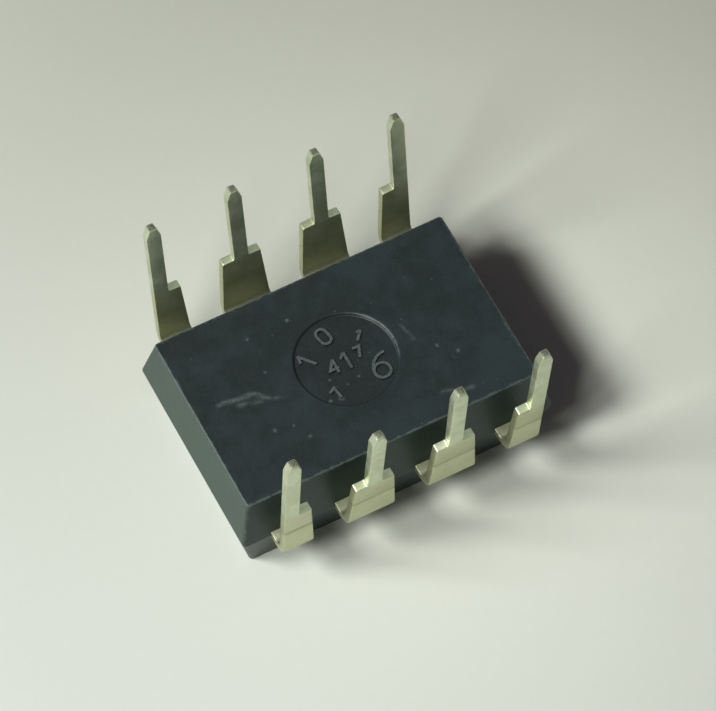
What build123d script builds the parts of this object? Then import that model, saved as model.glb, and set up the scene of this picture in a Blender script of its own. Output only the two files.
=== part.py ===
from build123d import *
import os
from math import cos, radians, tan

# An eight-pin plastic dual-in-line memory chip, lying on its marked face with its pins up.
# Millimetres and degrees. The origin is the middle of the marked face, +Z points to the pin
# tips, +X runs along the body to its notched end, and pins 1 to 4 stand on the -Y side.

# The moulded body: two drafted halves that meet at the parting plane
body_length = 9.8  # at the parting plane
body_width = 6.5  # at the parting plane
marked_half_height = 1.6  # from the marked face to the parting plane
pin_half_height = 1.6  # from the parting plane to the face that the pins stand over
draft = 11.6  # slope of every side wall
corner_radius = 0.12  # upright corners
rim_radius = 0.05  # rims of the two flat faces

# The half-round mark in the marked face, at the end where pin 1 and pin 8 are
notch_radius = 0.76
notch_depth = 0.7

# The round print of a mould insert in the pin-side face, with plain raised figures in it
print_diameter = 3.0
print_depth = 0.08
print_draft = 30.0  # slope of its wall
print_lip_radius = 0.06
print_floor_radius = 0.03
stroke_width = 0.08
stroke_relief = 0.06  # how far a stroke stands up from the floor of the print
# Each figure's digit, height, place from the middle of the print, and turn
figures = (
    ("0", 0.52, (-0.22, 0.95), 12),
    ("1", 0.58, (-0.98, 0.48), 40),
    ("4", 0.46, (-0.42, -0.06), 0),
    ("1", 0.56, (0.03, -0.04), 0),
    ("7", 0.34, (0.42, 0.05), 0),
    ("1", 0.34, (0.68, 0.52), -40),
    ("6", 0.8, (0.78, -0.62), -8),
    ("7", 0.34, (-0.72, -0.86), 30),
)

# The lead frame: one strip of tinned copper alloy
strip = 0.27  # its thickness
pitch = 2.54  # between pins of a row
pins_per_row = 4
row_spacing = 7.71  # between the middles of the two rows of legs, at the parting plane
splay = 4.8  # how far a leg leans out from the body
bend_radius = 0.25  # inside of the bend
pin_width = 0.45
shoulder_width = 1.2  # where the wide part of a leg ends
root_width = 1.53  # at the bend
standoff = 0.74  # from the pin-side face up to the shoulders
pin_length = 3.18  # from the shoulders to the tips
tip_bevel = 0.13  # taken off each side of a tip
tip_bevel_length = 0.38
tip_face_bevel = 0.06  # taken off the flats of a tip, at 45 degrees
relief_radius = 0.06  # in the corner between a pin and its shoulder
press_mark_drop = 0.95  # from the shoulders down to the line that the bending tool left
press_mark_width = 0.1
press_mark_depth = 0.03

# How far each leg of this used chip is bent out of true, pins 1 to 8
leg_lean = (0.7, 0.2, -0.2, 0.8, -0.2, -0.2, 0.1, 0.0)  # positive is towards +X
leg_spread = (0.3, -0.1, 1.7, -1.3, -0.8, 0.1, 0.3, 0.0)  # added to the splay

# The inner ends of the leads, and the plate that carries the silicon
frame_gap = 0.3  # least gap between neighbouring pieces of the frame
finger_width = 0.7
neck_length = 0.35  # how far the full root width runs on inside the wall
neck_slope = 0.35  # over which it narrows to the finger
pad_length = 3.4
pad_width = 2.4
pad_offset = 0.3  # the pad is set back from the plane of the leads
tie_bar_width = 0.5
tie_bar_jog = 0.4  # run over which a tie bar steps up to the pad
tie_bar_cover = 0.25  # resin left over the end of each tie bar

# The silicon and what holds and joins it
die_length = 2.1
die_width = 1.5
die_thickness = 0.3
attach_thickness = 0.03
attach_fillet = 0.08  # how far the adhesive spreads past the die
wire_diameter = 0.033
ball_diameter = 0.085
ball_height = 0.025
wire_rise = 0.2  # how far a wire stands over the die before it turns
wire_bend = 0.08
wire_landing = 0.22  # from the end of a finger to the middle of its bond
bond_edge = 0.15  # from the edge of the die to the middle of a bond pad
bond_spacing = 0.7  # between the two middle bond pads of a side
corner_bond_y = 0.375  # from the middle line to the bond pads at the die's ends

# Planes and lines that follow from the sizes above
parting_z = marked_half_height
face_z = parting_z + pin_half_height
seat_z = face_z + standoff
tip_z = seat_z + pin_length
leg_y = row_spacing / 2
pad_z = parting_z + pad_offset
pad_seat_z = pad_z - strip / 2  # the side of the pad that the die is stuck to
die_seat_z = pad_seat_z - attach_thickness
die_top_z = die_seat_z - die_thickness
finger_top_z = parting_z - strip / 2
pad_end = pad_length / 2
pad_side = pad_width / 2
row_end = pitch * (pins_per_row - 1) / 2
neck_y = body_width / 2 - neck_length
leg_reach = leg_y + strip + (tip_z - parting_z) * tan(radians(splay + max(leg_spread)))


def block(outline, low, high):
    """A flat outline in the XY plane, carried from one height to another."""
    return Pos(0, 0, low) * extrude(outline, high - low)


def drafted_half(height, direction):
    """One half of the moulding, which narrows away from the parting plane."""
    half = extrude(Rectangle(body_length, body_width), height, dir=(0, 0, direction), taper=draft)
    upright = half.edges().group_by(Axis.Z)[1]
    half = fillet(upright, corner_radius)
    flat = half.faces().sort_by(Axis.Z)[-1 if direction > 0 else 0]
    return Pos(0, 0, parting_z) * fillet(flat.edges(), rim_radius)


def notch():
    """The half-round cut in the end of the marked face, about the middle of that face's rim."""
    rim = body_length / 2 - marked_half_height * tan(radians(draft))
    return block(Pos(rim, 0) * Circle(notch_radius), 0, notch_depth)


def figure_lines(digit, height):
    """The middle lines of a plain figure, 0.6 as wide as it is high."""
    w = 0.3 * height
    h = height / 2
    lines = {
        "0": (
            CenterArc((0, h - w), w, 0, 180),
            Line((-w, h - w), (-w, w - h)),
            CenterArc((0, w - h), w, 180, 180),
            Line((w, w - h), (w, h - w)),
        ),
        "1": (Line((0, -h), (0, h)), Line((0, h), (-w, h - w))),
        "4": (Line((w / 2, -h), (w / 2, h)), Polyline((w / 2, h), (-w, -h / 3), (w, -h / 3))),
        "6": (
            CenterArc((0, w - h), w, 0, 180),
            CenterArc((0, w - h), w, 180, 180),
            ThreePointArc((-w, w - h), (-w / 2, h / 2), (w, h)),
        ),
        "7": (Polyline((-w, h), (w, h), (-w / 3, -h)),),
    }
    return lines[digit]


def raised_figures():
    """Plain figures on the floor of the print, each stroke sunk in it as deep as the print is."""
    floor_z = face_z - print_depth
    solid = Part()
    for digit, height, place, turn in figures:
        for line in figure_lines(digit, height):
            outline = Pos(*place) * Rot(0, 0, turn) * trace(line, stroke_width)
            solid += block(outline, floor_z - print_depth, floor_z + stroke_relief)
    return solid


def insert_print():
    """The shallow round recess, wider at its mouth than at its floor."""
    mouth = Circle(print_diameter / 2)
    recess = Pos(0, 0, face_z) * extrude(mouth, print_depth, dir=(0, 0, -1), taper=print_draft)
    return fillet(recess.edges().group_by(Axis.Z)[0], print_floor_radius)


def moulding():
    """The whole block of resin, before the pieces inside it are taken out of it."""
    body = drafted_half(pin_half_height, 1) + drafted_half(marked_half_height, -1)
    body -= insert_print()
    lip = body.edges().filter_by(GeomType.CIRCLE).group_by(SortBy.RADIUS)[-1]
    body = fillet(lip, print_lip_radius)
    return body - notch() + raised_figures()


def pin_place(number):
    """A pin's place along the body, and the side of the body that it is on."""
    index = (number - 1) % pins_per_row
    side = -1 if number <= pins_per_row else 1
    return -side * (row_end - index * pitch), side


def half_widths(x, wide):
    """How far a lead reaches to -X and +X of its middle: an end pin has no outer shoulder."""
    left = pin_width / 2 if x <= -row_end else wide / 2
    right = pin_width / 2 if x >= row_end else wide / 2
    return left, right


def bent_strip(number, side):
    """A lead seen from the end of the body: a flat strip turned up at the bend, its end bevelled."""
    angle = splay + leg_spread[number - 1]
    slope = tan(radians(angle))
    path = FilletPolyline(
        (0, parting_z),
        (leg_y, parting_z),
        (leg_y + (tip_z - parting_z) * slope, tip_z),
        radius=bend_radius + strip / 2,
    )
    outline = trace(path, strip)
    outline = chamfer(outline.vertices().group_by(Axis.Y)[-2:], tip_face_bevel)
    mark_z = seat_z - press_mark_drop
    mark = Rectangle(press_mark_depth * 2, press_mark_width)
    outer_face = leg_y + (mark_z - parting_z) * slope + strip / 2 / cos(radians(angle))
    outline -= Pos(outer_face, mark_z) * Rot(0, 0, -angle) * mark
    solid = extrude(Plane.YZ * outline, body_length, both=True)
    return solid if side > 0 else mirror(solid, Plane.XZ)


def leg_outline(number, x):
    """A leg seen from the side of the body: wide to its shoulders, then the bevelled pin."""
    low_z = parting_z - strip
    lean = tan(radians(leg_lean[number - 1]))
    root_left, root_right = half_widths(x, root_width)
    left, right = half_widths(x, shoulder_width)
    pin = pin_width / 2
    tip = pin - tip_bevel
    corners = [(-root_left, low_z), (-root_left, parting_z), (-left, seat_z)]
    if left > pin:
        corners.append((-pin, seat_z))
    corners += [(-pin, tip_z - tip_bevel_length), (-tip, tip_z)]
    corners += [(tip, tip_z), (pin, tip_z - tip_bevel_length)]
    if right > pin:
        corners.append((pin, seat_z))
    corners += [(right, seat_z), (root_right, parting_z), (root_right, low_z)]
    leaning = [(x + dx + max(z - parting_z, 0) * lean, z) for dx, z in corners]
    outline = make_face(Polyline(*leaning, close=True))
    at_seat = [v for v in outline.vertices() if abs(v.Y - seat_z) < relief_radius]
    inside = sorted(at_seat, key=lambda v: v.X)[1:-1]
    return fillet(inside, relief_radius)


def finger_outline(x, side):
    """A lead's inner end seen from above: a wide neck in the wall, then the bonding finger."""
    left, right = half_widths(x, root_width)
    neck, outer = neck_y, leg_y
    narrow = neck - neck_slope
    half = finger_width / 2
    if abs(x) < row_end:
        tip = pad_side + frame_gap
        corners = [(x - left, outer), (x - left, neck), (x - half, narrow), (x - half, tip)]
        corners += [(x + half, tip), (x + half, narrow), (x + right, neck), (x + right, outer)]
    else:
        end = 1 if x > 0 else -1
        far = abs(x) + pin_width / 2
        near = abs(x) - root_width / 2
        low = tie_bar_width / 2 + frame_gap
        close = pad_end + frame_gap
        corners = [(far, outer), (far, neck), (close + finger_width, low), (close, low)]
        corners += [(close, low + half), (near, neck), (near, outer)]
        corners = [(end * px, py) for px, py in corners]
    return make_face(Polyline(*[(px, side * py) for px, py in corners], close=True))


def lead(number):
    """One lead, from its bonding finger to its tip: the strip cut to its two outlines."""
    x, side = pin_place(number)
    leg = extrude(Plane.XZ * leg_outline(number, x), leg_reach - neck_y, dir=(0, side, 0))
    swept_leg = Pos(0, side * neck_y, 0) * leg
    inner = block(finger_outline(x, side), parting_z - strip, parting_z + strip)
    return bent_strip(number, side) & (swept_leg + inner)


def die_pad():
    """The pad and its tie bars, one strip that steps back between the pad and each bar."""
    bar_end = body_length / 2 - tie_bar_cover
    jog_out = pad_end + tie_bar_jog
    side_view = Polyline(
        (-bar_end, parting_z),
        (-jog_out, parting_z),
        (-pad_end, pad_z),
        (pad_end, pad_z),
        (jog_out, parting_z),
        (bar_end, parting_z),
    )
    section = Plane.XZ * trace(side_view, strip)
    plate = extrude(section, pad_width, both=True)
    outline = Rectangle(pad_length, pad_width) + Rectangle(2 * bar_end, tie_bar_width)
    return plate & block(outline, 0, face_z)


def die_attach():
    """The layer of adhesive, which spreads a little past the die."""
    outline = Rectangle(die_length + 2 * attach_fillet, die_width + 2 * attach_fillet)
    return block(outline, die_seat_z, pad_seat_z)


def silicon_die():
    """The silicon, its circuit towards the marked face."""
    return block(Rectangle(die_length, die_width), die_top_z, die_seat_z)


def bond_points(number):
    """The middle of a pin's bond pad on the die, and of its landing on the finger."""
    x, side = pin_place(number)
    end = 1 if x > 0 else -1
    if abs(x) < row_end:
        pad = (end * bond_spacing / 2, side * (die_width / 2 - bond_edge))
        landing = (x, side * (pad_side + frame_gap + wire_landing))
    else:
        pad = (end * (die_length / 2 - bond_edge), side * corner_bond_y)
        out = pad_end + frame_gap + wire_landing
        landing = (end * out, side * (tie_bar_width / 2 + frame_gap + wire_landing))
    return pad, landing


def bond_wire(number):
    """A gold wire: a flattened ball on the die, a loop, and an end pressed on the finger."""
    pad, landing = bond_points(number)
    ball = Pos(*pad, die_top_z - ball_height) * extrude(Circle(ball_diameter / 2), ball_height)
    path = FilletPolyline(
        (*pad, die_top_z - ball_height / 2),
        (*pad, die_top_z - ball_height - wire_rise),
        (*landing, finger_top_z),
        radius=wire_bend,
    )
    wire = sweep(Plane(path @ 0, z_dir=path % 0) * Circle(wire_diameter / 2), path)
    return ball + (wire & block(Rectangle(body_length, body_width), 0, finger_top_z))


def save(name, shape):
    """One STEP file for one piece."""
    export_step(shape, f"parts/{name}.step")


os.makedirs("parts", exist_ok=True)
numbers = range(1, 2 * pins_per_row + 1)
pieces = {f"lead_{number}": lead(number) for number in numbers}
pieces["die_pad"] = die_pad()
pieces["die_attach"] = die_attach()
pieces["silicon_die"] = silicon_die()
for number in numbers:
    pieces[f"bond_wire_{number}"] = bond_wire(number)
body = moulding()
for piece in pieces.values():
    body -= piece
save("moulded_body", body)
for name, piece in pieces.items():
    save(name, piece)
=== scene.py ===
from math import cos, pi, radians, sin, tan

import bpy
import numpy as np
from mathutils import Matrix, Vector


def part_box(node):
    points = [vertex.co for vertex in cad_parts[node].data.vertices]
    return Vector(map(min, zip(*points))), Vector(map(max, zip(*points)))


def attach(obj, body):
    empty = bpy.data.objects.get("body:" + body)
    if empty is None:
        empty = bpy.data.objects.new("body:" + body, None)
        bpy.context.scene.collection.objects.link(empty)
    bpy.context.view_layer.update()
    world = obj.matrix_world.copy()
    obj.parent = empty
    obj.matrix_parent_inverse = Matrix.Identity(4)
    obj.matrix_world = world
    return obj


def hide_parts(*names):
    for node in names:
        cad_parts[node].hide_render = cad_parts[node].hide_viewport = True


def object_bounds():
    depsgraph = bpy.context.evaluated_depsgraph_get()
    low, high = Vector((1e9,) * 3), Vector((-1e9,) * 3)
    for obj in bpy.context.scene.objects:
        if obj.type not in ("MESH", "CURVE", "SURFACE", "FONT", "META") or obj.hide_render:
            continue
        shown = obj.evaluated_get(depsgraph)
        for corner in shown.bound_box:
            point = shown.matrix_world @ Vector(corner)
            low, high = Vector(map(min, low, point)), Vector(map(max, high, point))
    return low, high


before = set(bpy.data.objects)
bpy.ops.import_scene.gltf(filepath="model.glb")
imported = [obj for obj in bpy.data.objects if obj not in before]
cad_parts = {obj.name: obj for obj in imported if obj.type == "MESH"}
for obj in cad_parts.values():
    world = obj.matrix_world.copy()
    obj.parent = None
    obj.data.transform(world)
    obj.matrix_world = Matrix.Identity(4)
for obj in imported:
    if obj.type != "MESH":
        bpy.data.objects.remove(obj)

# An eight-pin plastic memory chip, lying on its marked face with its pins up.
# The frame is in metres. The sizes of the chip's own pieces are given in millimetres.
cad_low, cad_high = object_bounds()
MM = 0.001

# ---------------------------------------------------------------------------------------------
# The moulded body. A block of black epoxy filled with fine silica, pressed round the lead frame
# in a two-part mould. The mould was spark eroded, so the skin is matt, and this chip has been
# pulled from a board: it is scuffed, dusty and rubbed paler along its rims.
# ---------------------------------------------------------------------------------------------


class Socket:
    """An output of a node. Arithmetic on it adds Math nodes to the same material."""

    def __init__(self, tree, output):
        self.tree = tree
        self.output = output

    def node(self, kind, settings=None, output=0, **inputs):
        """Adds a node. Its settings come first, then the value or link of each socket.

        A socket is named in words with _ for a space, or by its number as in _0.
        """
        made = self.tree.nodes.new("ShaderNode" + kind)
        for name, value in (settings or {}).items():
            if name == "stops":
                place_stops(made.color_ramp, value)
            else:
                setattr(made, name, value)
        for name, value in inputs.items():
            key = int(name[1:]) if name[0] == "_" else name.replace("_", " ")
            self.put(made.inputs[key], value)
        return Socket(self.tree, made.outputs[output])

    def put(self, target, value):
        """Gives a socket its link or its plain value."""
        if isinstance(value, Socket):
            self.tree.links.new(value.output, target)
        else:
            target.default_value = value

    def maths(self, operation, first, second=0.0, third=0.0):
        return self.node("Math", {"operation": operation}, _0=first, _1=second, _2=third)

    def __add__(self, other):
        return self.maths("ADD", self, other)

    def __sub__(self, other):
        return self.maths("SUBTRACT", self, other)

    def __rsub__(self, other):
        return self.maths("SUBTRACT", other, self)

    def __mul__(self, other):
        return self.maths("MULTIPLY", self, other)

    def __truediv__(self, other):
        return self.maths("DIVIDE", self, other)

    def __abs__(self):
        return self.maths("ABSOLUTE", self)

    __radd__ = __add__
    __rmul__ = __mul__

    def lower(self, other):
        return self.maths("MINIMUM", self, other)

    def upper(self, other):
        return self.maths("MAXIMUM", self, other)

    def ramp(self, low, high):
        """0 at low and under, 1 at high and over, smooth between. low may be the larger."""
        flip = low > high
        ends = (high, low, 1.0, 0.0) if flip else (low, high, 0.0, 1.0)
        shape = {"interpolation_type": "SMOOTHSTEP"}
        return self.node("MapRange", shape, _0=self, _1=ends[0], _2=ends[1], _3=ends[2], _4=ends[3])

    def noise(self, scale, detail=3.0, roughness=0.5, distortion=0.0):
        """Cloudy noise about 0.5, with so many humps in a millimetre."""
        return self.node(
            "TexNoise", Vector=self, Scale=scale, Detail=detail, Roughness=roughness, Distortion=distortion
        )

    def blend(self, first, second):
        """A colour that goes from the first to the second as this mask goes from 0 to 1."""
        return self.node("Mix", {"data_type": "RGBA"}, output=2, _0=self, _6=first, _7=second)

    def bump(self, depth, strength=1.0, normal=None):
        """The normal of a surface that rises by so many millimetres where this is 1."""
        more = {"Normal": normal} if normal else {}
        return self.node("Bump", Height=self, Distance=depth * MM, Strength=strength, **more)


def place_stops(ramp, stops):
    """Sets a colour ramp's stops, each a position and a colour."""
    while len(ramp.elements) < len(stops):
        ramp.elements.new(1.0)
    for element, (position, colour) in zip(ramp.elements, stops):
        element.position = position
        element.color = colour


def new_material(name):
    """A material, its principled surface, and the place of each point in millimetres."""
    material = bpy.data.materials.new(name)
    material.use_nodes = True
    tree = material.node_tree
    surface = tree.nodes["Principled BSDF"]
    texture = tree.nodes.new("ShaderNodeTexCoord")
    metres = Socket(tree, texture.outputs["Object"])
    place = metres.node("VectorMath", {"operation": "SCALE"}, Vector=metres, Scale=1 / MM)
    return material, surface, place


def colour(red, green, blue):
    """A linear colour from 0-255 display values."""
    display = np.array([red, green, blue]) / 255
    linear = np.where(display <= 0.04045, display / 12.92, ((display + 0.055) / 1.055) ** 2.4)
    return (*(float(v) for v in linear), 1.0)


def axes(place):
    """The x, y and z of a place, each as a number."""
    split = place.node("SeparateXYZ", Vector=place)
    node = split.output.node
    return [Socket(place.tree, node.outputs[i]) for i in range(3)]


def streak(place, start, end, width):
    """1 along a straight line on the pin side, fading to 0 at its half width.

    The distance is that from the nearest point of the line, which is the start plus the
    share of the line that the place projects on, kept between 0 and 1.
    """
    start, end = Vector((*start, 0)), Vector((*end, 0))
    line = end - start
    flat = place.node("VectorMath", {"operation": "MULTIPLY"}, _0=place, _1=(1, 1, 0))
    away = place.node("VectorMath", {"operation": "SUBTRACT"}, _0=flat, _1=start)
    along = place.node("VectorMath", {"operation": "DOT_PRODUCT"}, output=1, _0=away, _1=line)
    share = (along / line.length_squared).lower(1.0).upper(0.0)
    nearest = place.node("VectorMath", {"operation": "SCALE"}, _0=line, Scale=share)
    distance = place.node("VectorMath", {"operation": "DISTANCE"}, output=1, _0=away, _1=nearest)
    return distance.ramp(width, 0.0)


def speck(place, middle, radius):
    """1 at a point of the pin side, fading to 0 at the radius."""
    flat = place.node("VectorMath", {"operation": "MULTIPLY"}, _0=place, _1=(1, 1, 0))
    distance = place.node("VectorMath", {"operation": "DISTANCE"}, output=1, _0=flat, _1=(*middle, 0))
    return distance.ramp(radius, 0.0)


body_low, body_high = (np.array(corner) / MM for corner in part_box("moulded_body"))
parting = (body_low[2] + body_high[2]) / 2
draft = radians(11.6)

# The round recess in the pin side and its figures. LIT_SIDE is the way to the lit side of its lip, where a
# highlight is painted.
PRINT_RADIUS, PRINT_DEPTH, STROKE_RELIEF = 1.5, 0.08, 0.06
LIP = 0.08
LIT_SIDE = (0.968, 0.252)

# Marks on the pin side: a wavy scrape, rubs and specks of dust
SCRAPE_WIDTH = 0.12
SCRAPE = ((-3.85, 0.33), (-3.19, 0.27), (-2.76, 0.19), (-2.65, -0.01), (-1.97, -0.4))
RUBS = (
    ((1.83, 0.27), (2.0, -0.3), 0.09),
    ((4.5, -0.95), (4.54, -1.71), 0.1),
    ((-3.3, 0.05), (-2.75, -0.1), 0.16),
    ((1.9, -2.2), (2.7, -2.45), 0.12),
)
SPECKS = (
    ((-2.17, 1.85), 0.07),
    ((-2.21, 0.67), 0.075),
    ((-0.9, 1.88), 0.09),
    ((-2.8, -1.12), 0.105),
    ((-2.26, -1.22), 0.075),
    ((-2.02, -1.74), 0.09),
    ((2.47, -0.8), 0.09),
    ((2.92, -1.22), 0.09),
    ((-0.67, -1.03), 0.135),
    ((-0.98, -0.97), 0.09),
    ((0.08, -0.62), 0.0675),
    ((-0.3, -0.71), 0.06),
    ((-0.66, -0.65), 0.075),
    ((-0.69, -0.36), 0.075),
)


def insets(place):
    """How far the skin lies in from the end faces, from the side faces and from the flat faces."""
    x, y, z = axes(place)
    slope = abs(z - parting) * tan(draft)
    end_in = body_high[0] - slope - abs(x)
    side_in = body_high[1] - slope - abs(y)
    face_in = (body_high[2] - z).lower(z - body_low[2])
    return end_in, side_in, face_in


def rim_wear(place, ragged):
    """1 where an edge is rubbed pale, and less in patches along the parting line.

    Where two faces meet, two of the three insets are small, so the middle one is small too.
    """
    end_in, side_in, face_in = insets(place)
    nearest = end_in.lower(side_in)
    middle = end_in.upper(side_in).lower(nearest.upper(face_in))
    reach = ragged.ramp(0.3, 0.75) * 0.12 + 0.02
    rim = (middle / reach).ramp(1.0, 0.0) * 0.75
    height = abs(axes(place)[2] - parting)
    flash = (height / 0.05).ramp(1.0, 0.0) * ragged.ramp(0.4, 0.62) * 0.5
    return rim.upper(flash)


def scrapes(place):
    """1 along the scrape and less along the rubs, on lines that noise has made wavy."""
    wobble = place.node("TexNoise", output=1, Vector=place, Scale=3.0, Detail=3.0)
    shift = place.node("VectorMath", {"operation": "SUBTRACT"}, _0=wobble, _1=(0.5, 0.5, 0.5))
    swing = place.node("VectorMath", {"operation": "SCALE"}, _0=shift, Scale=0.22)
    bent = place.node("VectorMath", {"operation": "ADD"}, _0=place, _1=swing)
    marks = streak(bent, SCRAPE[0], SCRAPE[1], SCRAPE_WIDTH)
    for start, end in zip(SCRAPE[1:], SCRAPE[2:]):
        marks = marks.upper(streak(bent, start, end, SCRAPE_WIDTH))
    for start, end, width in RUBS:
        marks = marks.upper(streak(bent, start, end, width) * 0.7)
    return marks


def dusting(place, patchy):
    """The larger specks of dust, each patchy, and fine lint all over."""
    dust = speck(place, *SPECKS[0])
    for middle, radius in SPECKS[1:]:
        dust = dust.upper(speck(place, middle, radius))
    lint = place.node("TexVoronoi", {"feature": "F1"}, Vector=place, Scale=1.9).ramp(0.07, 0.02)
    return (dust * patchy).upper(lint * 0.45)


def recess_masks(place, top, patchy, ragged):
    """1 on the floor of the round recess, and the figures' tops, rubbed pale and painted with a glint,
    with a painted highlight on the lit side of its lip.
    """
    x, y, z = axes(place)
    flat = place.node("VectorMath", {"operation": "MULTIPLY"}, _0=place, _1=(1, 1, 0))
    radius = flat.node("VectorMath", {"operation": "LENGTH"}, output=1, _0=flat)
    inside = radius.ramp(PRINT_RADIUS, PRINT_RADIUS - LIP) * top
    raised = (z - body_high[2] + PRINT_DEPTH).ramp(0.02, STROKE_RELIEF)
    lit = ((x * LIT_SIDE[0] + y * LIT_SIDE[1]) / PRINT_RADIUS).ramp(0.72, 0.95)
    ring = radius.ramp(PRINT_RADIUS - LIP, PRINT_RADIUS) * radius.ramp(PRINT_RADIUS + 0.07, PRINT_RADIUS)
    # Painted highlight: the lit side of the lip is made pale where light falls on it.
    painted_lip_highlight = ring * lit * ragged.ramp(0.25, 0.55) * 0.9
    # The figures' tops are made pale as wear and as a painted glint.
    return inside * (1.0 - raised), (inside * raised * patchy).upper(painted_lip_highlight)


def epoxy():
    """Matt black filled epoxy, cloudy in tone, with pale rims, scrapes and dust, a painted sheen on its
    end and side walls, a painted glint on its figures and a painted highlight on its recess lip.
    """
    material, surface, place = new_material("moulded_epoxy")
    x, y, z = axes(place)
    wide = place.noise(0.45, 3.0)
    patches = place.noise(1.6, 4.0, 0.6)
    filler = place.noise(38.0, 2.0)
    grain = place.noise(16.0, 3.0)
    ragged = place.noise(5.0, 4.0, 0.7)
    patchy = grain.ramp(0.35, 0.6) * 0.5 + 0.4

    top = (z - body_high[2] + 0.12).ramp(0.0, 0.05)
    # The figures' tops carry wear and a painted glint, and the lit side of the recess lip a painted
    # highlight.
    sunk, figure_wear_glint_and_lip_highlight = recess_masks(place, top, patchy, ragged)
    broken = patches.ramp(0.3, 0.6) * (grain.ramp(0.3, 0.6) * 0.6 + 0.4) * 0.8
    marks = (scrapes(place) * broken).upper(dusting(place, patchy)).upper(figure_wear_glint_and_lip_highlight)
    # Rim wear, scrapes and dust are made pale together with the painted glint and highlight.
    wear_and_painted_highlights = rim_wear(place, ragged).upper(marks * top)

    cloudy = (wide * 0.6 + patches * 0.4 + x * 0.012 - y * 0.014).ramp(0.38, 0.62)
    base = cloudy.blend(colour(11, 22, 24), colour(26, 38, 41))
    base = (sunk * 0.4).blend(base, colour(7, 16, 18))
    speckled = (filler.ramp(0.56, 0.7) * 0.3).blend(base, colour(58, 68, 66))
    end_in, side_in, _ = insets(place)
    # Painted sheen: the end walls, and the side walls less, are made paler as if they reflected the lit
    # paper.
    walls = end_in.ramp(0.06, 0.0).upper(side_in.ramp(0.06, 0.0) * 0.4)
    with_painted_wall_sheen = (walls * (patches * 0.6 + 0.5)).blend(speckled, colour(54, 73, 64))
    finished = (wear_and_painted_highlights * 0.6).blend(with_painted_wall_sheen, colour(100, 112, 108))
    place.put(surface.inputs["Base Color"], finished)
    place.put(surface.inputs["Roughness"], 0.36 + patches * 0.14 + wear_and_painted_highlights * 0.15)
    surface.inputs["Specular IOR Level"].default_value = 0.5
    relief = (grain * 0.6 + filler * 0.4).bump(0.006)
    place.put(surface.inputs["Normal"], place.noise(2.2, 2.0).bump(0.02, 0.5, relief))
    return material


def dress(names, material):
    """Gives CAD pieces their finish, by their objects' own slots."""
    for name in names:
        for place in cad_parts[name].material_slots:
            place.material = material


dress(["moulded_body"], epoxy())

# ---------------------------------------------------------------------------------------------
# The eight leads. Each is a strip of copper alloy, stamped from the lead frame and then tinned.
# A press turned it down at the bend and left a line across its wide part. Stamping rolls the
# edges of the outer face over and leaves those of the inner face nearly sharp.
# ---------------------------------------------------------------------------------------------
STRIP = 0.27  # thickness
PITCH = 2.54
PINS_PER_ROW = 4
LEG_Y = 7.71 / 2  # from the middle plane to the corner of the bend
BEND = 0.385  # radius of the strip's middle at the bend
PIN = 0.45 / 2  # half widths of the pin, the shoulders and the root
SHOULDER = 1.2 / 2
ROOT = 1.53 / 2
FINGER = 0.7 / 2
STANDOFF = 0.74
SHOULDER_FALL = 0.012  # a sheared shoulder drops a little to its outer corner
TIP_BEVEL, TIP_BEVEL_LENGTH, TIP_FACE_BEVEL = 0.13, 0.38, 0.06
OUTER_ROLL, INNER_ROLL = 0.045, 0.02  # radii along the edges of the two faces
CORNER = 0.06  # longest run of the curve at a corner of the outline
MARK_DROP, MARK_WIDTH, MARK_DEPTH = 0.95, 0.09, 0.03
FINGER_TIP, FINGER_END, NECK = 1.5, 2.55, 2.9  # stations of a middle finger, from the middle plane
SIDE_TIP, SIDE_STEP = 0.55, 0.9  # stations of an end finger
SIDE_NEAR, SIDE_FAR = -1.81, -1.11  # its tip, from the pin towards the middle of the body


def curved_corners(corners, longest, count=5):
    """A closed outline with each corner turned into a short parabola.

    The parabola of a corner C runs from A to B, points on the two edges beside it, as
    (1-k)^2 A + 2k(1-k) C + k^2 B. A and B lie as far from C as longest, or 0.45 of the edge.
    """
    back = np.roll(corners, 1, axis=0) - corners
    on = np.roll(corners, -1, axis=0) - corners
    first = corners + back * np.minimum(0.45, longest / np.linalg.norm(back, axis=1))[:, None]
    last = corners + on * np.minimum(0.45, longest / np.linalg.norm(on, axis=1))[:, None]
    k = np.linspace(0, 1, count)[None, :, None]
    return (1 - k) ** 2 * first[:, None] + 2 * k * (1 - k) * corners[:, None] + k**2 * last[:, None]


def with_stations(edge, stations):
    """One long edge of the blank with points added where it crosses given stations."""
    across = np.interp(stations, edge[:, 1], edge[:, 0])
    points = np.vstack([edge, np.column_stack([across, stations])])
    return points[np.argsort(points[:, 1], kind="stable")]


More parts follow.
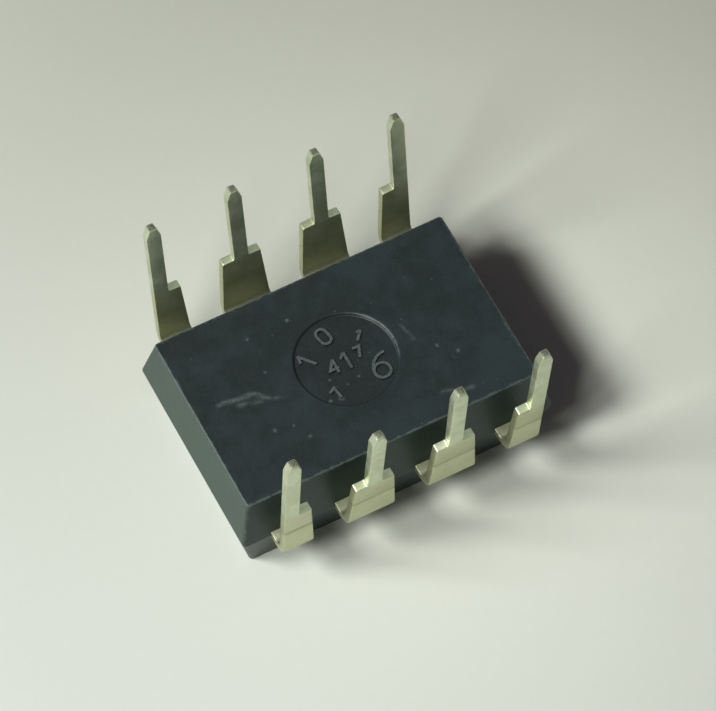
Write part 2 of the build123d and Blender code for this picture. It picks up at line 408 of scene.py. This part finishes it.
def lead_blank(leg, outer_left, outer_right):
    """The two long edges of a lead's flat blank, as (across, along) from finger to tip.

    leg holds the stations of the bend's start and end, the shoulders and the tip. An end
    lead has no shoulder on its outer side, and its finger reaches in under the tie bar.
    """
    bend_start, bend_end, seat, tip = leg
    if outer_left or outer_right:
        along = [SIDE_TIP, SIDE_STEP, NECK]
        share = (SIDE_STEP - SIDE_TIP) / (NECK - SIDE_TIP)
        plain = [-SIDE_NEAR, -SIDE_NEAR, ROOT]
        straight = [SIDE_FAR, SIDE_FAR + share * (PIN - SIDE_FAR), PIN]
    else:
        along = [FINGER_TIP, FINGER_END, NECK]
        plain = straight = [FINGER, FINGER, ROOT]
    along += [bend_start, seat - SHOULDER_FALL, seat, tip - TIP_BEVEL_LENGTH, tip]
    shoulder = [ROOT, SHOULDER, PIN, PIN, PIN - TIP_BEVEL]
    bare = [PIN, PIN, PIN, PIN, PIN - TIP_BEVEL]
    left = np.array(straight + bare if outer_left else plain + shoulder)
    right = np.array(straight + bare if outer_right else plain + shoulder)
    corners = np.vstack([np.column_stack([-left, along]), np.column_stack([right, along])[::-1]])
    outline = curved_corners(corners, CORNER)
    half = len(corners) // 2
    mark = seat - MARK_DROP
    stations = np.concatenate([
        np.linspace(bend_start, bend_end, 17),
        mark + MARK_WIDTH * np.linspace(-1, 1, 9),
        np.linspace(seat + 0.1, tip - TIP_BEVEL_LENGTH - 0.05, 12),
        [tip - TIP_FACE_BEVEL],
    ])
    left_edge = with_stations(outline[:half].reshape(-1, 2), stations)
    right_edge = with_stations(outline[half:].reshape(-1, 2)[::-1], stations)
    return left_edge, right_edge


def edge_profile(steps=5):
    """How far in from the outline, and how far through the strip, an edge's section runs.

    Both faces' edges are quarter circles: in = r (1 - sin a) and down = r (1 - cos a).
    """
    turn = np.linspace(0, pi / 2, steps)
    inwards = np.concatenate([OUTER_ROLL * (1 - np.sin(turn)), INNER_ROLL * (1 - np.cos(turn))])
    down = np.concatenate([OUTER_ROLL * (1 - np.cos(turn)), -INNER_ROLL * (1 - np.sin(turn))])
    face = np.repeat([1.0, -1.0], steps)
    return inwards, face, down


def blank_surface(left_edge, right_edge, seat, tip):
    """The blank as rings of points round its outline, and the faces between them.

    Ring k lies inside the outline by the profile's k-th step, along the outline's normal.
    The first and last rings are closed by faces from one long edge across to the other.
    """
    outline = np.vstack([left_edge, right_edge[::-1]])
    run = np.roll(outline, -1, axis=0) - np.roll(outline, 1, axis=0)
    run /= np.linalg.norm(run, axis=1)[:, None]
    inner = np.column_stack([run[:, 1], -run[:, 0]])
    inwards, face, down = edge_profile()
    points = outline[None] + inwards[:, None, None] * inner[None]
    along = points[..., 1]
    half = STRIP / 2 - np.maximum(0, TIP_FACE_BEVEL - (tip - along))
    groove = 1 - ((along - seat + MARK_DROP) / MARK_WIDTH) ** 2
    groove = MARK_DEPTH * np.clip(groove, 0, 1) ** 2 * (face[:, None] > 0)
    through = face[:, None] * half - down[:, None] - groove
    rings, count = along.shape
    index = np.arange(rings * count).reshape(rings, count)
    ahead = np.roll(index, -1, axis=1)
    walls = np.stack([index[:-1], ahead[:-1], ahead[1:], index[1:]], axis=-1).reshape(-1, 4)
    side = len(left_edge)
    low, high = np.arange(side - 1), np.arange(1, side)
    ladder = np.stack([low, high, count - 1 - high, count - 1 - low], axis=-1)
    front = ladder[:, ::-1]
    back = ladder + (rings - 1) * count
    faces = np.vstack([walls, front, back])
    return np.dstack([points, through]).reshape(-1, 3), faces, groove.ravel() / MARK_DEPTH


def bent_up(blank, turn, bend_start):
    """Carries the flat blank round the bend and up the leg.

    With s along the strip and n through it, the run is (s, -n) before the bend. On the bend
    it turns about a centre one bend radius above the strip, at the angle (s - start) / radius,
    and past the bend it goes straight on at the full turn.
    """
    along, through = blank[:, 1], blank[:, 2]
    angle = np.clip((along - bend_start) / BEND, 0, turn)
    before = np.minimum(along - bend_start, 0)
    after = np.maximum(along - bend_start - BEND * turn, 0)
    out = bend_start + before + (BEND + through) * np.sin(angle) + after * cos(turn)
    up = BEND - (BEND + through) * np.cos(angle) + after * sin(turn)
    return out, up


def lead_mesh(number):
    """A whole lead, from its bonding finger to its tip, where the CAD lead lies."""
    name = f"lead_{number}"
    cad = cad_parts[name].data
    points = np.empty(len(cad.vertices) * 3)
    cad.vertices.foreach_get("co", points)
    points = points.reshape(-1, 3) / MM
    side = 1 if points[:, 1].mean() > 0 else -1
    order = (number - 1) % PINS_PER_ROW
    x = -side * PITCH * ((PINS_PER_ROW - 1) / 2 - order)
    top = points[:, 2].max()
    tip_middle = points[points[:, 2] > top - TIP_FACE_BEVEL / 2].mean(axis=0)
    rise = top - parting
    splay = np.arctan((abs(tip_middle[1]) - LEG_Y) / rise)
    lean = (tip_middle[0] - x) / rise

    turn = pi / 2 - splay
    bend_start = LEG_Y - BEND * tan(turn / 2)
    bend_end = bend_start + BEND * turn
    bend_top = BEND * (1 - cos(turn))
    seat = bend_end + (body_high[2] + STANDOFF - parting - bend_top) / cos(splay)
    tip = bend_end + (rise - bend_top - STRIP / 2 * sin(splay)) / cos(splay)
    leg = (bend_start, bend_end, seat, tip)
    last = order in (0, PINS_PER_ROW - 1)
    left_edge, right_edge = lead_blank(leg, last and x < 0, last and x > 0)
    blank, faces, pressed = blank_surface(left_edge, right_edge, seat, tip)
    out, up = bent_up(blank, turn, bend_start)
    place = np.column_stack([x + blank[:, 0] + lean * np.maximum(up, 0), side * out, parting + up])
    return place, faces if side < 0 else faces[:, ::-1], pressed


def add_piece(name, points, faces, material):
    """A smooth-shaded piece of the root body from points in millimetres."""
    mesh = bpy.data.meshes.new(name)
    mesh.from_pydata(points * MM, [], faces.tolist())
    mesh.validate()
    mesh.shade_smooth()
    mesh.set_sharp_from_angle(angle=radians(38))
    mesh.materials.append(material)
    piece = bpy.data.objects.new(name, mesh)
    bpy.context.scene.collection.objects.link(piece)
    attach(piece, "root")
    return piece


def tin_plate():
    """Dull, slightly yellowed tin with stains, fine scratches along the strip and rough ends, with painted
    shade on the legs below the shoulders and in the press line.
    """
    material, surface, place = new_material("tin_plate")
    z = axes(place)[2]
    stains = place.noise(1.8, 4.0, 0.6)
    spots = place.noise(9.0, 3.0, 0.6)
    stretched = place.node("VectorMath", {"operation": "MULTIPLY"}, _0=place, _1=(26.0, 26.0, 1.2))
    scratches = stretched.noise(1.0, 2.0)
    sheared = (z - (cad_high[2] / MM - 0.05)).ramp(0.0, 0.04)
    seat = body_high[2] + STANDOFF
    base = stains.ramp(0.35, 0.65).blend(colour(197, 204, 174), colour(213, 219, 195))
    # Below the shoulders the tin is yellower and painted darker: painted shade where the legs stand by the
    # dark body.
    base = ((z - seat).ramp(0.2, -0.2) * 0.55).blend(base, colour(186, 184, 146))
    spotted = (spots.ramp(0.6, 0.75) * 0.5).blend(base, colour(158, 160, 132))
    # Painted shade: the press line is darkened as if shade lay in its groove.
    line = place.node("Attribute", {"attribute_name": "pressed"}, output=2)
    with_groove_shade = (line * 0.45).blend(spotted, colour(120, 124, 96))
    finished = (sheared * 0.8).blend(with_groove_shade, colour(84, 80, 70))
    place.put(surface.inputs["Base Color"], finished)
    surface.inputs["Metallic"].default_value = 1.0
    rough = 0.36 + stains * 0.14 + spots * 0.08 + sheared * 0.1
    place.put(surface.inputs["Roughness"], rough)
    ripple = scratches.bump(0.006, 0.6)
    pits = spots.bump(0.012, 0.7, ripple)
    torn = (place.noise(24.0, 3.0, 0.7) * sheared).bump(0.05, 1.0, pits)
    place.put(surface.inputs["Normal"], torn)
    return material


tin = tin_plate()
for number in range(1, 2 * PINS_PER_ROW + 1):
    points, faces, pressed = lead_mesh(number)
    piece = add_piece(f"tinned_lead_{number}", points, faces, tin)
    piece.data.attributes.new("pressed", "FLOAT", "POINT").data.foreach_set("value", pressed)
    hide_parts(f"lead_{number}")

# ---------------------------------------------------------------------------------------------
# What is sealed in the body: the bare pad of the lead frame, the silver-filled adhesive, the
# silicon and its gold bond wires.
# ---------------------------------------------------------------------------------------------


def inner_finish(name, low, high, rough, metal, scale):
    """A plain finish that clouds between two colours."""
    material, surface, place = new_material(name)
    cloud = place.noise(scale, 3.0)
    place.put(surface.inputs["Base Color"], cloud.ramp(0.35, 0.65).blend(colour(*low), colour(*high)))
    place.put(surface.inputs["Roughness"], cloud * 0.15 + rough)
    place.put(surface.inputs["Normal"], place.noise(scale * 4, 2.0).bump(0.002))
    surface.inputs["Metallic"].default_value = metal
    return material


dress(["die_pad"], inner_finish("bare_frame", (196, 180, 160), (208, 196, 182), 0.3, 1.0, 3.0))
dress(["die_attach"], inner_finish("silver_adhesive", (160, 160, 158), (186, 186, 184), 0.5, 0.4, 20.0))
dress(["silicon_die"], inner_finish("silicon", (78, 84, 98), (96, 100, 112), 0.15, 0.5, 1.5))
wires = [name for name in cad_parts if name.startswith("bond_wire_")]
dress(wires, inner_finish("gold_wire", (226, 180, 92), (238, 200, 120), 0.2, 1.0, 8.0))

# ---------------------------------------------------------------------------------------------
# The stage: a sheet of pale paper, two soft lamps off the chip's plain end, a weak room light,
# and a camera that looks down on the pins.
# ---------------------------------------------------------------------------------------------
FLOOR_REACH = 0.6
LIGHT_POOL_MIDDLE, LIGHT_POOL_REACH = (7.0, -3.0), 21.0  # the painted pool of light on the paper, in millimetres


def paper():
    """Pale paper with painted light: darker and warmer away from the lamps, and a painted pool of light
    about the chip's notched end.
    """
    material, surface, place = new_material("paper")
    x, y, _ = axes(place)
    towards = (x * -0.78 + y * -0.62) / 36.0
    fibre = place.noise(3.0, 4.0)
    # Painted light: the paper darkens away from the lamps and is paler in a pool of light by the chip.
    paper_with_painted_light = towards.ramp(-0.7, 0.7).blend(colour(196, 200, 183), colour(221, 227, 220))
    painted_light_pool = speck(place, LIGHT_POOL_MIDDLE, LIGHT_POOL_REACH) * 0.31 + 0.87
    paper_with_painted_light = place.node("VectorMath", {"operation": "SCALE"}, _0=paper_with_painted_light, Scale=painted_light_pool)
    mottled = (fibre * 0.05).blend(paper_with_painted_light, colour(150, 150, 140))
    place.put(surface.inputs["Base Color"], mottled)
    surface.inputs["Roughness"].default_value = 0.85
    surface.inputs["Specular IOR Level"].default_value = 0.2
    place.put(surface.inputs["Normal"], fibre.bump(0.01, 0.4))
    return material


floor_mesh = bpy.data.meshes.new("floor")
corners = [(-FLOOR_REACH, -FLOOR_REACH, 0), (FLOOR_REACH, -FLOOR_REACH, 0),
           (FLOOR_REACH, FLOOR_REACH, 0), (-FLOOR_REACH, FLOOR_REACH, 0)]
floor_mesh.from_pydata(corners, [], [(0, 1, 2, 3)])
floor_mesh.materials.append(paper())
floor = bpy.data.objects.new("floor", floor_mesh)
bpy.context.scene.collection.objects.link(floor)


def add_lamp(name, place, size, watts, tint):
    """A soft oval lamp at a place in metres, so wide and so high, turned to the chip."""
    lamp = bpy.data.lights.new(name, "AREA")
    lamp.shape = "ELLIPSE"
    lamp.size, lamp.size_y = size
    lamp.energy = watts
    lamp.color = tint
    holder = bpy.data.objects.new(name, lamp)
    holder.location = place
    holder.rotation_mode = "QUATERNION"
    holder.rotation_quaternion = Vector(place).to_track_quat("Z", "Y")
    bpy.context.scene.collection.objects.link(holder)


def lamp_place(azimuth, elevation, distance):
    """A point seen from the chip at an azimuth from +X, in degrees, and a distance in metres."""
    a, e = radians(azimuth), radians(elevation)
    return (distance * cos(a) * cos(e), distance * sin(a) * cos(e), distance * sin(e))


add_lamp("key", lamp_place(170, 49, 0.1), (0.034, 0.026), 0.075, (1.0, 1.0, 0.98))
add_lamp("second", lamp_place(203, 51, 0.1), (0.030, 0.026), 0.050, (1.0, 1.0, 0.98))
world = bpy.data.worlds.new("room")
world.use_nodes = True
tree = world.node_tree
room = tree.nodes["Background"]
rays = tree.nodes.new("ShaderNodeLightPath")
seen = Socket(tree, rays.outputs["Is Camera Ray"])
for kind in ("Is Glossy Ray", "Is Transmission Ray"):
    seen = seen.upper(Socket(tree, rays.outputs[kind]))
seen.put(room.inputs["Color"], seen.blend((0.85, 0.68, 0.88, 1.0), (0.75, 0.84, 0.8, 1.0)))
seen.put(room.inputs["Strength"], 0.055 + seen * 0.445)
bpy.context.scene.world = world
bpy.context.scene.view_settings.view_transform = "Standard"

# The camera stands off the plain end and the first row of pins, and looks steeply down
CAMERA_AZIMUTH, CAMERA_ELEVATION, CAMERA_ROLL = -26.813, 60.392, -0.748
CAMERA_DISTANCE = 133.57
CAMERA_AIM = (0.762, 0.749, parting)
LENS = 235.77

azimuth, elevation = radians(CAMERA_AZIMUTH), radians(CAMERA_ELEVATION)
back = Vector((sin(azimuth) * cos(elevation), -cos(azimuth) * cos(elevation), sin(elevation)))
right = Vector((cos(azimuth), sin(azimuth), 0))
roll = Matrix.Rotation(radians(CAMERA_ROLL), 3, "Z")
turned = Matrix((right, back.cross(right), back)).transposed() @ roll
camera = bpy.data.objects.new("camera", bpy.data.cameras.new("camera"))
camera.data.lens = LENS
camera.data.clip_start = 0.005
stand = (Vector(CAMERA_AIM) + back * CAMERA_DISTANCE) * MM
camera.matrix_world = Matrix.Translation(stand) @ turned.to_4x4()
bpy.context.scene.collection.objects.link(camera)
bpy.context.scene.camera = camera
